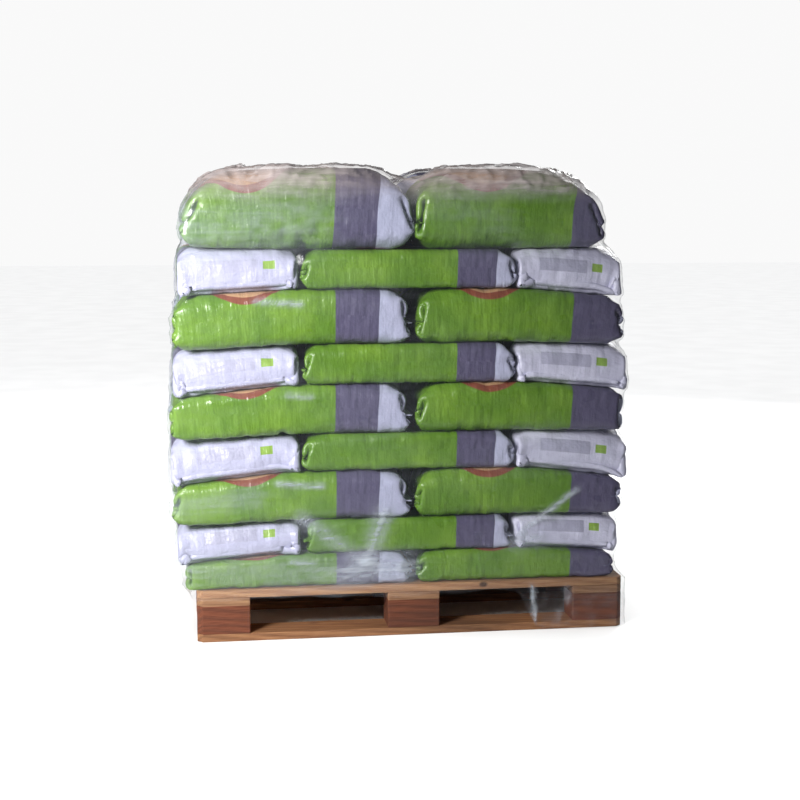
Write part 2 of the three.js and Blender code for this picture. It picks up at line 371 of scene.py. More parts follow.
@dataclass(frozen=True)
class SackFinish:
    """Printed sack film: green, a grey band and a white end, over loose granules that press through it."""

    name: str = "sack_film"
    green: str = "6d912b"
    deep_green: str = "547a1c"
    grey: str = "544f69"
    # Painted shade and painted light: the white end's colour is darker towards the left of the load and
    # lighter towards the right, set against the key light from the left.
    white: str = "b3b3cc"
    right_painted_light_white: str = "d2d1e6"
    shaded_white: str = "a5a4bc"
    rim: str = "7d4430"
    panel: str = "b08a66"
    panel_centre: Span = (0.37, 0.25)
    panel_half: Span = (0.20, 0.213)
    patches: tuple[tuple[Span, Span, str], ...] = (
        ((0.938, 0.0140), (0.13, 0.31), "a9a8be"),
        ((0.938, 0.0090), (0.33, 0.37), "86a548"),
    )
    band_from: float = 0.70
    white_from: float = 0.86
    print_edge: float = 0.001
    granules: float = 125.0
    creases_place: Place = (36.0, 5.0, 1.0)
    pleats_place: Place = (7.0, 42.0, 1.0)

    def material(self) -> bpy.types.Material:
        """Builds the material.

        Returns:
            The material.
        """
        g = Graph(self.name)
        printed = g.add("UVMap", uv_map=PRINT_MAP).outputs[0]
        parts = g.add("SeparateXYZ", {0: printed})
        along, around = parts.outputs[0], parts.outputs[1]
        tone = g.add("Attribute", attribute_name=TONE).outputs["Fac"]
        cloudy = g.noise(g.place(), 9.0, 3.0)
        shade = g.math("ADD", cloudy, g.math("MULTIPLY", tone, 0.2))
        colour = g.mix(g.span(shade, 0.35, 0.75), rgb(self.green), rgb(self.deep_green))
        colour = self._panel(g, colour, along, around)
        from_band, from_white = (
            g.span(along, start - self.print_edge, start + self.print_edge)
            for start in (self.band_from, self.white_from)
        )
        colour = g.mix(from_band, colour, rgb(self.grey))
        # Painted light: the white end goes from the darker white at the load's left to the lighter white at
        # its right.
        to_right = g.add("SeparateXYZ", {0: g.place()}).outputs[0]
        white = g.mix(g.span(to_right, -0.3, 0.3), rgb(self.white), rgb(self.right_painted_light_white))
        white = g.mix(g.span(cloudy, 0.4, 0.7, 0.0, 0.45), white, rgb(self.shaded_white))
        colour = g.mix(from_white, colour, white)
        colour = self._patches(g, colour, along, around)
        roughness = g.span(g.noise(g.place(), 22.0, 4.0), 0.3, 0.75, 0.26, 0.42)
        normal = self._relief(g, along)
        return g.surface({"Base Color": colour, "Roughness": roughness, "IOR": 1.5, "Normal": normal})

    def _panel(self, g: Graph, colour: Socket, along: Socket, around: Socket) -> Socket:
        """Lays a plain oval panel on the upper face, where x^2 + y^2 < 1 from its centre in half sizes.

        Args:
            g: node tree.
            colour: colour below it.
            along: way along the print.
            around: way round it.

        Returns:
            The colour with the panel.
        """
        dx = g.math("DIVIDE", g.math("SUBTRACT", along, self.panel_centre[0]), self.panel_half[0])
        dy = g.math("DIVIDE", g.math("SUBTRACT", around, self.panel_centre[1]), self.panel_half[1])
        far = g.math("ADD", *(g.math("MULTIPLY", d, d) for d in (dx, dy)))
        colour = g.mix(g.span(far, 0.99, 1.01, 1.0, 0.0), colour, rgb(self.rim))
        return g.mix(g.span(far, 0.80, 0.82, 1.0, 0.0), colour, rgb(self.panel))

    def _patches(self, g: Graph, colour: Socket, along: Socket, around: Socket) -> Socket:
        """Lays a plain pale field and a small green one on the white end of the upper face.

        Args:
            g: node tree.
            colour: colour below them.
            along: way along the print.
            around: way round it.

        Returns:
            The colour with both fields.
        """
        for (middle, half), (start, end), shade in self.patches:
            near = g.math("COMPARE", along, middle)
            near.node.inputs[2].default_value = half
            after, before = g.math("GREATER_THAN", around, start), g.math("LESS_THAN", around, end)
            inside = g.math("MULTIPLY", near, g.math("MULTIPLY", after, before))
            colour = g.mix(inside, colour, rgb(shade))
        return colour

    def _relief(self, g: Graph, along: Socket) -> Socket:
        """Granules pressing through the film, fine creases round the sack, and pleats into its white end.

        Args:
            g: node tree.
            along: way along the print.

        Returns:
            The bumped normal.
        """
        granules = g.add("TexVoronoi", {"Vector": g.place(), "Scale": self.granules}, feature="SMOOTH_F1")
        lumps = g.noise(g.place(), 38.0, 3.0)
        creases = g.noise(g.place(self.creases_place, PRINT_MAP), 1.0, 4.0, 0.55)
        base = g.bump(lumps, 0.004, 0.5)
        base = g.bump(creases, 0.010, 0.45, base)
        pleats = g.noise(g.place(self.pleats_place, PRINT_MAP), 1.0, 3.0, 0.55)
        base = g.bump(pleats, 0.012, g.span(along, self.white_from, self.white_from + 0.08, 0.0, 0.25), base)
        return g.bump(granules.outputs["Distance"], 0.0012, 0.5, base)


@dataclass(frozen=True)
class FilmFinish:
    """Clear stretch film: glossy, nearly invisible where it lies flat, and milky where it is bunched."""

    name: str = "stretch_film"
    side: str = "d0d8e4"
    # top is partly a painted reflection: the milky film over the top is tinted pinkish grey for the
    # surroundings it reflects.
    top: str = "d8cbc9"
    top_between: Span = (1.17, 1.25)
    # outline is painted shade: a dark grey laid on the film where it is seen edge-on.
    outline: str = "4c4a50"
    streaks_place: Place = (6.0, 60.0, 1.0)
    fine_place: Place = (30.0, 240.0, 1.0)

    def material(self) -> bpy.types.Material:
        """Builds the material.

        Returns:
            The material.
        """
        g = Graph(self.name)
        haze = g.add("Attribute", attribute_name=HAZE).outputs["Fac"]
        streaks = g.noise(g.place(self.streaks_place, FILM_MAP), 1.0, 4.0, 0.6)
        fine = g.noise(g.place(self.fine_place, FILM_MAP), 1.0, 3.0, 0.6)
        grazing = g.add("LayerWeight", {"Blend": 0.35}).outputs["Facing"]
        cloud = g.math("MULTIPLY", haze, g.span(streaks, 0.25, 0.75, 0.6, 1.4))
        edge = g.span(grazing, 0.35, 1.0, 0.0, 0.42)
        alpha = g.math("ADD", cloud, edge, clamp=True)
        height = g.add("SeparateXYZ", {0: g.place(map_name=FILM_MAP)}).outputs[1]
        # Up the turn the film's colour goes to the pinkish top: partly milky film, partly a painted
        # reflection of its surroundings.
        colour = g.mix(g.span(height, *self.top_between), rgb(self.side), rgb(self.top))
        # Painted shade: where the film is seen edge-on it turns dark grey and more opaque, a dark line along
        # the load's outline.
        outline = g.span(grazing, 0.88, 0.99)
        colour = g.mix(outline, colour, rgb(self.outline))
        alpha = g.math("ADD", alpha, g.math("MULTIPLY", outline, 0.5), clamp=True)
        base = g.bump(streaks, 0.004, 0.25)
        return g.surface(
            {
                "Base Color": colour,
                "Roughness": g.span(fine, 0.3, 0.8, 0.08, 0.22),
                "IOR": 2.2,
                "Alpha": alpha,
                "Normal": g.bump(fine, 0.0012, 0.25, base),
            }
        )


@dataclass(frozen=True)
class FloorFinish:
    """Plain pale floor with a faint unevenness."""

    name: str = "floor"
    light: str = "f2f2f2"
    dark: str = "ededed"

    def material(self) -> bpy.types.Material:
        """Builds the material.

        Returns:
            The material.
        """
        g = Graph(self.name)
        cloudy = g.noise(g.place(), 3.0, 2.0)
        colour = g.mix(g.span(cloudy, 0.3, 0.7), rgb(self.light), rgb(self.dark))
        return g.surface({"Base Color": colour, "Roughness": 0.7})


@dataclass
class Studio:
    """Camera, floor and soft lights. Powers are in watts, and pitch, yaw and spreads in degrees."""

    camera_place: Place = (-0.617, -4.439, 1.170)
    camera_pitch: float = 7.10
    camera_yaw: float = 8.14
    lens: float = 67.5
    sensor: float = 36.0
    clip_end: float = 100.0
    floor_half: float = 30.0
    key_place: Place = (-2.0, -2.2, 1.7)
    key_target: Place = (-0.75, 0.0, 0.7)
    key_size: float = 0.9
    key_power: float = 34.0
    key_spread: float = 80.0
    back_place: Place = (2.4, 3.6, 2.6)
    back_target: Place = (0.0, 0.0, 0.7)
    back_size: float = 1.6
    back_power: float = 60.0
    above_strength: float = 3.3
    above_spread: float = 50.0
    sky_strength: float = 0.10
    backdrop_strength: float = 0.95

    def build(self) -> None:
        """Makes the camera, the floor and the lights."""
        self._camera()
        self._lights(self._floor())

    def _camera(self) -> None:
        """Makes the camera, at the photograph's viewing angle."""
        camera = put("camera", bpy.data.cameras.new("camera"))
        camera.data.lens = self.lens
        camera.data.sensor_width = self.sensor
        camera.data.clip_end = self.clip_end
        camera.location = self.camera_place
        camera.rotation_euler = (math.radians(90 - self.camera_pitch), 0, math.radians(-self.camera_yaw))
        bpy.context.scene.camera = camera

    def _floor(self) -> bpy.types.Object:
        """Makes a wide flat floor under the foot boards.

        Returns:
            The floor.
        """
        h = self.floor_half
        corners = np.array([[-h, -h, 0], [h, -h, 0], [h, h, 0], [-h, h, 0]])
        floor = make_object("floor", corners, np.array([[0, 1, 2, 3]]), smooth=False)
        floor.data.materials.append(FloorFinish().material())
        return floor

    def _lights(self, floor: bpy.types.Object) -> None:
        """Makes a key light at the left, a light behind, one from above for the floor, and a pale sky.

        Args:
            floor: what the light from above shines on alone.
        """
        bpy.context.scene.view_settings.view_transform = "Standard"
        self._sky()
        key = self._area("key_light", self.key_place, self.key_target, self.key_size, self.key_power)
        key.data.spread = math.radians(self.key_spread)
        self._area("back_light", self.back_place, self.back_target, self.back_size, self.back_power)
        above = bpy.data.lights.new("light_above", "SUN")
        above.energy = self.above_strength
        above.angle = math.radians(self.above_spread)
        above.cycles.max_bounces = 0
        lamp = put("light_above", above)
        lamp.location = (0.0, 0.0, 5.0)
        lit = bpy.data.collections.new("lit_from_above")
        lit.objects.link(floor)
        lamp.light_linking.receiver_collection = lit

    def _sky(self) -> None:
        """Makes an even pale sky: dim as a light, and bright where it is seen behind the load."""
        world = bpy.data.worlds.new("sky")
        world.use_nodes = True
        tree = world.node_tree
        tree.nodes.clear()
        dim, bright = (tree.nodes.new("ShaderNodeBackground") for _ in range(2))
        dim.inputs["Color"].default_value = (0.93, 0.96, 1.0, 1.0)
        dim.inputs["Strength"].default_value = self.sky_strength
        bright.inputs["Color"].default_value = (1.0, 1.0, 1.0, 1.0)
        bright.inputs["Strength"].default_value = self.backdrop_strength
        rays = tree.nodes.new("ShaderNodeLightPath")
        both = tree.nodes.new("ShaderNodeMixShader")
        tree.links.new(rays.outputs["Is Camera Ray"], both.inputs[0])
        tree.links.new(dim.outputs[0], both.inputs[1])
        tree.links.new(bright.outputs[0], both.inputs[2])
        out = tree.nodes.new("ShaderNodeOutputWorld")
        tree.links.new(both.outputs[0], out.inputs["Surface"])
        bpy.context.scene.world = world

    def _area(self, name: str, place: Place, target: Place, size: float, power: float) -> bpy.types.Object:
        """Makes a square area light that faces a point.

        Args:
            name: name of the light.
            place: where it stands.
            target: the point.
            size: side of the square.
            power: its power in watts.

        Returns:
            The light's object.
        """
        light = bpy.data.lights.new(name, "AREA")
        light.size = size
        light.energy = power
        lamp = put(name, light)
        way = np.array(target) - np.array(place)
        flat = math.hypot(way[0], way[1])
        lamp.location = place
        lamp.rotation_euler = (math.atan2(flat, -way[2]), 0, math.atan2(-way[0], way[1]))
        return lamp


@dataclass
class Pallet:
    """The wooden pallet: the frame's own boards and blocks, with eased edges and wood, and its nails."""

    easing: float = 0.0025
    easing_steps: int = 2
    sharp: float = 30.0
    welded_within: float = 0.0001
    knot: Place = (0.197, -0.400, 0.218)
    nail_spots: tuple[Span, Span] = ((0.25, 0.25), (0.75, 0.75))
    nail_top: float = 0.75
    nail_radius: float = 0.005
    nail_height: float = 0.0008
    nail_sides: int = 12

    def build(self) -> None:
        """Dresses every board and block and drives the nails."""
        finishes = {
            "deck": WoodFinish("deck_wood", "bb8f66", "8f6040", knot=self.knot).material(),
            "bearer": WoodFinish("bearer_wood", "a87f5c", "7d5338", "3d2a20", 0.4).material(),
            "block": WoodFinish("block_wood", "7d4227", "522b19", "2f1f18", 0.5).material(),
            "foot": WoodFinish("foot_wood", "a87850", "74482e", "33231a", 0.5).material(),
        }
        for name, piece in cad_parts.items():
            kind = name.split("_")[0]
            if kind in finishes:
                self._dress(piece, finishes[kind])
        self._nails()

    def _dress(self, piece: bpy.types.Object, wood: bpy.types.Material) -> None:
        """Joins the loose triangles of a board, eases its edges and gives it wood.

        Args:
            piece: the board or block.
            wood: its material.
        """
        piece.modifiers.new("weld", "WELD").merge_threshold = self.welded_within
        bevel = piece.modifiers.new("ease", "BEVEL")
        bevel.width = self.easing
        bevel.segments = self.easing_steps
        bevel.limit_method = "ANGLE"
        bevel.angle_limit = math.radians(self.sharp)
        bevel.harden_normals = False
        for slot in piece.material_slots:
            slot.material = wood
        log.info("dressed %s", piece.name)

    def _nails(self) -> None:
        """Shallow nail heads on the deck boards, two where each crosses a bearer."""
        places = []
        for row in range(1, 6):
            low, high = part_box(f"deck_board_{row}")
            for column in ("left", "centre", "right"):
                left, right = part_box(f"bearer_{column}")
                for fx, fy in self.nail_spots:
                    x = left[0] + (right[0] - left[0]) * fx
                    y = low[1] + (high[1] - low[1]) * fy
                    places.append((x, y, high[2]))
        spots = np.array(places)
        angle = np.arange(self.nail_sides) / self.nail_sides * 2 * np.pi
        rings = ((1.0, 0.0), (self.nail_top, 1.0))
        points, faces, base = [], [], 0
        circle = np.stack([np.cos(angle), np.sin(angle)], -1) * self.nail_radius
        for spot in spots:
            levels = [
                np.column_stack([circle * share, np.full(self.nail_sides, rise * self.nail_height)])
                for share, rise in rings
            ]
            points.append(np.vstack(levels) + spot)
            quads = tube_faces(2, self.nail_sides) + base
            faces.extend(quads[:, ::-1].tolist())
            faces.append([base + self.nail_sides + i for i in range(self.nail_sides)])
            faces.append([base + i for i in range(self.nail_sides)][::-1])
            base += 2 * self.nail_sides
        mesh = bpy.data.meshes.new("nails")
        mesh.from_pydata(np.vstack(points).tolist(), [], faces)
        nails = put("nails", mesh)
        mesh.materials.append(NailFinish().material())
        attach(nails, BODY)
        log.info("nails: %d heads", len(spots))


class Heading(Enum):
    """Where a sack's white end points, as its turn about +Z."""

    RIGHT = 0.0
    LEFT = math.pi
    FRONT = -math.pi / 2


@dataclass(frozen=True)
class LoadProfile:
    """Heights of the faces between the layers, and how far each layer reaches, in metres.

    A face has a height at the left end, one over the middle and one at the right end. The slopes start at
    the knees and reach the ends' heights at slope_ends.
    """

    faces: tuple[tuple[float, float, float], ...] = (
        (0.144, 0.144, 0.144),
        (0.212, 0.236, 0.212),
        (0.321, 0.329, 0.328),
        (0.433, 0.466, 0.428),
        (0.558, 0.568, 0.562),
        (0.674, 0.706, 0.678),
        (0.800, 0.815, 0.805),
        (0.948, 0.966, 0.938),
        (1.078, 1.072, 1.078),
        (1.276, 1.290, 1.268),
    )
    ends: tuple[Span, ...] = (
        (-0.630, 0.580),
        (-0.650, 0.592),
        (-0.653, 0.598),
        (-0.664, 0.615),
        (-0.662, 0.610),
        (-0.655, 0.611),
        (-0.650, 0.599),
        (-0.638, 0.590),
        (-0.624, 0.544),
    )
    knees: Span = (-0.312, 0.300)
    slope_ends: Span = (-0.620, 0.590)
    rounding: float = 0.04

    def height(self, face: int, x: Array) -> Array:
        """Level over the middle, and sloping evenly past each knee: middle + (end - middle) * ramp.

        Args:
            face: number of the face, 0 for the deck.
            x: where along the pallet.

        Returns:
            The height at each x.
        """
        left, middle, right = self.faces[face]
        to_left = ramp(self.knees[0] - x, self.rounding) / (self.knees[0] - self.slope_ends[0])
        to_right = ramp(x - self.knees[1], self.rounding) / (self.slope_ends[1] - self.knees[1])
        return middle + (left - middle) * to_left + (right - middle) * to_right


@dataclass(frozen=True)
class SackCut:
    """How a sack's sealed ends hang.

    As shares of the thickness: the film to spare over the sack's length, and how high the seals lie.
    """

    slack: float
    fin_height: float


LENGTHWISE = SackCut(0.69, 0.38)
CROSSWISE = SackCut(1.20, 0.10)


@dataclass
class FilledSack:
    """A gusseted film sack with flat sealed ends, filled and squeezed between its neighbours.

    The film is a grid of rings along the sack. Each ring starts at the middle of one gusset, runs over the
    upper face to the other gusset and back under the lower face, so a point's mirror in its ring is the same
    number from the end.

    tapers are how long the crown's fall is at the outer and at the inner end, and how deep as a share of the
    thickness. crown is how far the middle rises and how far the sides fall. seal_halves are half the
    thickness of the tucked and of the other layers. tucks are how far a seal stays from a joint and from the
    load's side. roll is how far the print is turned round the sack, as a share of the girth.
    """

    name: str
    layer: int
    across_x: Span
    across_y: Span
    heading: Heading
    bands_at: Span
    seed: int
    profile: LoadProfile = field(default_factory=LoadProfile)
    rings: int = 84
    around: int = 112
    seal: float = 0.022
    girth_share: float = 1.025
    tapers: tuple[Span, Span] = ((0.165, 0.95), (0.06, 0.35))
    blunt: float = 0.97
    crown: Span = (0.006, 0.014)
    clear: float = 0.0005
    pressure: float = 0.00009
    drag: float = 0.9
    give: float = 0.35
    build_up: float = 0.12
    wobble: float = 0.0015
    opening: float = 0.5
    settle: float = 0.1
    lump: float = 0.0011
    lump_fade: float = 0.08
    welded: tuple[int, ...] = (0, 1, 2, -3, -2, -1)
    seal_halves: Span = (0.0003, 0.0009)
    tucks: Span = (0.006, 0.012)
    tone_step: float = 0.37
    roll: float = 0.0

    def __post_init__(self) -> None:
        """Works out the flat sizes of the film from the space that the sack fills."""
        long_x = self.heading is not Heading.FRONT
        self.cut = LENGTHWISE if long_x else CROSSWISE
        sizes = [self.across_x[1] - self.across_x[0], self.across_y[1] - self.across_y[0]]
        self.length, self.width = sizes if long_x else sizes[::-1]
        self.centre = np.array([sum(self.across_x) / 2, sum(self.across_y) / 2])
        xs = np.linspace(*self.across_x, 9)
        self.thickness = float(np.mean(self._top(xs, self.centre[1]) - self._bottom(xs)))
        girth = 2 * (self.width - self.thickness) + math.pi * self.thickness
        self.girth = girth * self.girth_share
        self.flat_length = self.length + self.cut.slack * self.thickness
        self.rest_along = self.flat_length / (self.rings - 1)
        self.rest_around = self.girth / self.around

    def _bottom(self, x: Array) -> Array:
        """Height of what the sack lies on."""
        return self.profile.height(self.layer - 1, x) + self.clear

    def _top(self, x: Array, y: Array) -> Array:
        """Height of what lies on the sack, or of its own crown in the top layer.

        The crown falls by a set height times y^2 to the sides, and towards the outer and the inner end by
        (1 - sqrt(1 - b t^2)) of a share of the thickness. There t runs from 0 to 1 over the taper, and b is
        just under 1, so that the slope at the end isn't upright.

        Args:
            x: where along the pallet.
            y: where across it.

        Returns:
            The height at each place.
        """
        face = self.profile.height(self.layer, x) - self.clear
        if self.layer < len(self.profile.ends):
            return face + 0 * y
        low, high = self.across_x
        off_y = (y - self.centre[1]) / (self.across_y[1] - self.across_y[0]) * 2
        crown = face + self.crown[0] - self.crown[1] * off_y**2
        from_ends = (x - low, high - x) if self.centre[0] < 0 else (high - x, x - low)
        for off, (taper, depth) in zip(from_ends, self.tapers):
            past = np.clip(1 - off / taper, 0, 1)
            crown = crown - depth * (face - self._bottom(x)) * (1 - np.sqrt(1 - self.blunt * past**2))
        return crown

    def start(self) -> Array:
        """Flat sealed ends with the gussets tucked in, opening to a box between them.

        With k from 0 at a seal to 1 in the body, a point is the fin's point times (1 - k) plus the box's
        point times k.

        Returns:
            Points of shape (rings, around, 3).
        """
        s = np.linspace(-0.5, 0.5, self.rings)[:, None]
        t = (np.arange(self.around) + 0.5) / self.around * self.girth
        half = self.girth / 2
        mirrored = np.where(t < half, t, self.girth - t)
        gusset = (half - self.width) / 2
        past = mirrored - gusset
        fin_y = np.where(past < 0, -past, np.where(past > self.width, 2 * self.width - past, past))
        fin_y = fin_y - self.width / 2
        box_y = np.clip(past, 0, self.width) - self.width / 2
        rise = np.clip(np.minimum(mirrored, half - mirrored) / gusset, 0, 1) * self.thickness / 2
        box_z = np.where(t < half, rise, -rise)
        from_seal = (0.5 - np.abs(s)) * self.length - self.seal
        open_share = np.clip(from_seal / (self.thickness * self.opening), 0, 1)
        k = np.sqrt(1 - (1 - open_share) ** 2)
        x = s * self.length + 0 * t
        y = fin_y * (1 - k) + box_y * k
        z = box_z * k + (self.cut.fin_height - 0.5) * self.thickness * (1 - k)
        z = z + self.wobble * Waves(self.seed, 0.07, 0.22).at(s * self.length, t)
        turn = self.heading.value
        world_x = self.centre[0] + x * math.cos(turn) - y * math.sin(turn)
        world_y = self.centre[1] + x * math.sin(turn) + y * math.cos(turn)
        low, high = self._bottom(world_x), self._top(world_x, world_y)
        world_z = (low + high) / 2 + z / self.thickness * (high - low)
        return np.stack([world_x, world_y, world_z], -1)

    def _hold(self, points: Array) -> None:
        """Welds the sealed rings to a line, tucks them in and keeps the film inside the sack's space.

        Args:
            points: the sack's points, which are moved in place.
        """
        axis = 1 if self.heading is Heading.FRONT else 0
        ends = (self.across_x, self.across_y)[axis]
        low_tuck, high_tuck = (self.tucks[abs(end) > OUTER] for end in ends)
        for ring in self.welded:
            points[ring] = (points[ring] + points[ring][::-1]) / 2
            x, z = points[ring, :, 0], points[ring, :, 2]
            low = self._bottom(x)
            z += self.settle * (low + self.cut.fin_height * self.thickness - z)
            run = points[ring, :, axis]
            np.clip(run, ends[0] + low_tuck, ends[1] - high_tuck, out=run)
        x, y, z = points[..., 0], points[..., 1], points[..., 2]
        np.clip(x, *self.across_x, out=x)
        np.clip(y, *self.across_y, out=y)
        np.clip(z, self._bottom(x), self._top(x, y), out=z)

    def relax(self, steps: int, passes: int = 4) -> Array:
        """Blows the film up inside its space while its threads keep their lengths.

        Each step moves a point by its last move times the drag, and along its normal by the pressure. Each
        pass then moves the ends of every thread by a share of its error, because all threads move at once.
        Threads run along, around and across the cells of the grid. Those to second neighbours only push, so
        that the film bends in soft folds. The pressure grows from a half at the seals to the whole.

        Args:
            steps: pressure steps.
            passes: thread passes in each step.

        Returns:
            Points of shape (rings, around, 3).
        """
        points = self.start()
        before = points.copy()
        ring = np.arange(self.rings)
        grown = smoothstep(0.0, self.build_up, np.minimum(ring, ring[::-1]) / self.rings)
        pressure = (self.pressure * (0.5 + 0.5 * grown))[:, None, None]
        cell = 4 * self.rest_along * self.rest_around
        for _ in range(steps):
            slope_along = np.gradient(points, axis=0) * 2
            slope_around = np.roll(points, -1, 1) - np.roll(points, 1, 1)
            normal = np.cross(slope_along, slope_around) / cell
            points, before = points + self.drag * (points - before) + pressure * normal, points
            for _ in range(passes):
                points = points + self.give * self._threads(points)
                self._hold(points)
        return points

    def _threads(self, points: Array) -> Array:
        """How far the threads pull each point.

        A kind of thread has how many rings and points apart its ends lie, its length, the share of an error
        that each end makes good, and what that share is times where it pushes, or None where it only pushes.

        Args:
            points: points of the sack.

        Returns:
            The move of each point.
        """
        pull = np.zeros_like(points)
        diagonal = math.hypot(self.rest_along, self.rest_around)
        kinds = (
            (1, 0, self.rest_along, 0.5, 0.35),
            (0, 1, self.rest_around, 0.5, 0.35),
            (1, 1, diagonal, 0.25, 1.0),
            (1, -1, diagonal, 0.25, 1.0),
            (2, 0, 2 * self.rest_along, 0.125, None),
            (0, 2, 2 * self.rest_around, 0.125, None),
        )
        for rows, columns, rest, gain, squeeze in kinds:
            first = points[: self.rings - rows]
            second = np.roll(points, -columns, 1)[rows:]
            way = second - first
            span = np.sqrt((way * way).sum(-1, keepdims=True)) + 1e-9
            error = (span - rest) / span
            error = np.minimum(error, 0) if squeeze is None else np.where(error > 0, error, error * squeeze)
            move = gain * error * way
            pull[: self.rings - rows] += move
            pull[rows:] -= np.roll(move, columns, 1)
        return pull

    def build(self, film: bpy.types.Material, steps: int) -> Array:
        """Relaxes the sack and makes it a piece.

        Each sealed end is closed by quads between the points of the upper face and their mirrors.

        Args:
            film: the printed film.
            steps: pressure steps of the relaxation.

        Returns:
            The sack's points, of shape (rings, around, 3).
        """
        points = self.relax(steps)
        points = self._open_seals(self._lumps(points))
        half = self.around // 2
        upper = np.arange(half - 1)
        strip = np.stack([upper, upper + 1, self.around - 2 - upper, self.around - 1 - upper], -1)
        last = strip[:, ::-1] + (self.rings - 1) * self.around
        faces = np.vstack([tube_faces(self.rings, self.around), strip, last])
        sack = make_object(f"filled_{self.name}", points, faces)
        self._map(sack, len(faces))
        add_value(sack, TONE, np.full(self.rings * self.around, (self.seed * self.tone_step) % 1.0))
        sack.data.materials.append(film)
        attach(sack, BODY)
        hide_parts(self.name)
        sizes = (side * 1e3 for side in (self.length, self.width, self.thickness))
        log.info("%s: %.0f x %.0f x %.0f mm", self.name, *sizes)
        return points

    def _lumps(self, points: Array) -> Array:
        """Moves points along their normals by seeded waves of about 1 mm, fading at the seals.

        Args:
            points: points of the sack.

        Returns:
            The moved points.
        """
        s = np.linspace(0, self.flat_length, self.rings)[:, None]
        t = np.arange(self.around)[None, :] * self.rest_around
        height = self.lump * Waves(self.seed + 500, 0.03, 0.09, 40).at(s, t)
        fade = smoothstep(0.0, self.lump_fade, np.minimum(s, self.flat_length - s))
        slope_around = np.roll(points, -1, 1) - np.roll(points, 1, 1)
        normal = np.cross(np.gradient(points, axis=0), slope_around)
        normal /= np.linalg.norm(normal, axis=-1, keepdims=True) + 1e-12
        points = points + (height * fade)[..., None] * normal
        self._hold(points)
        return points

    def _open_seals(self, points: Array) -> Array:
        """Gives the welded rings the thickness of their layers of film, with the tucked gussets inside.

        Args:
            points: points of the sack, which are moved in place.

        Returns:
            The same points.
        """
        t = (np.arange(self.around) + 0.5) * self.rest_around
        mirrored = np.where(t < self.girth / 2, t, self.girth - t)
        gusset = (self.girth / 2 - self.width) / 2
        tucked = (mirrored < gusset) | (mirrored > gusset + self.width)
        offset = np.where(tucked, *self.seal_halves) * np.where(t < self.girth / 2, 1, -1)
        for ring in self.welded:
            points[ring, :, 2] += offset
        return points

    def _map(self, sack: bpy.types.Object, count: int) -> None:
        """Maps the print: u from the green end to the white one, bands at set places, and v round.

        Args:
            sack: the sack's object.
            count: how many faces it has, the last of them in its sealed ends.
        """
        middle, sign = {
            Heading.RIGHT: (self.centre[0], 1),
            Heading.LEFT: (self.centre[0], -1),
            Heading.FRONT: (self.centre[1], -1),
        }[self.heading]
        s = np.linspace(-0.5, 0.5, self.rings) * self.flat_length
        end = self.flat_length / 2
        stops = [-end, *((place - middle) * sign for place in self.bands_at), end]
        u = np.interp(s, stops, [0.0, SackFinish.band_from, SackFinish.white_from, 1.0])
        v = np.arange(self.around + 1) / self.around - self.roll
        low_u, low_v = np.meshgrid(u[:-1], v[:-1], indexing="ij")
        high_u, high_v = np.meshgrid(u[1:], v[1:], indexing="ij")
        corners = np.stack([low_u, low_v, high_u, low_v, high_u, high_v, low_u, high_v], -1).reshape(-1, 8)
        ends = np.zeros((count - len(corners), 8))
        ends[len(ends) // 2 :] = 1.0
        add_map(sack, PRINT_MAP, np.vstack([corners, ends]).reshape(-1, 2))


# Where the grey band and the white end of a sack start, along the way that the sack lies.
BANDS: dict[str, Span] = {
    "front_left": (-0.214, -0.095),
    "front_right": (0.446, 0.600),
    "back_left": (-0.480, -0.570),
    "back_right": (0.222, 0.103),
    "left": (-0.188, -0.288),
    "right": (-0.188, -0.288),
    "front_middle": (0.121, 0.230),
    "back_middle": (-0.143, -0.252),
}


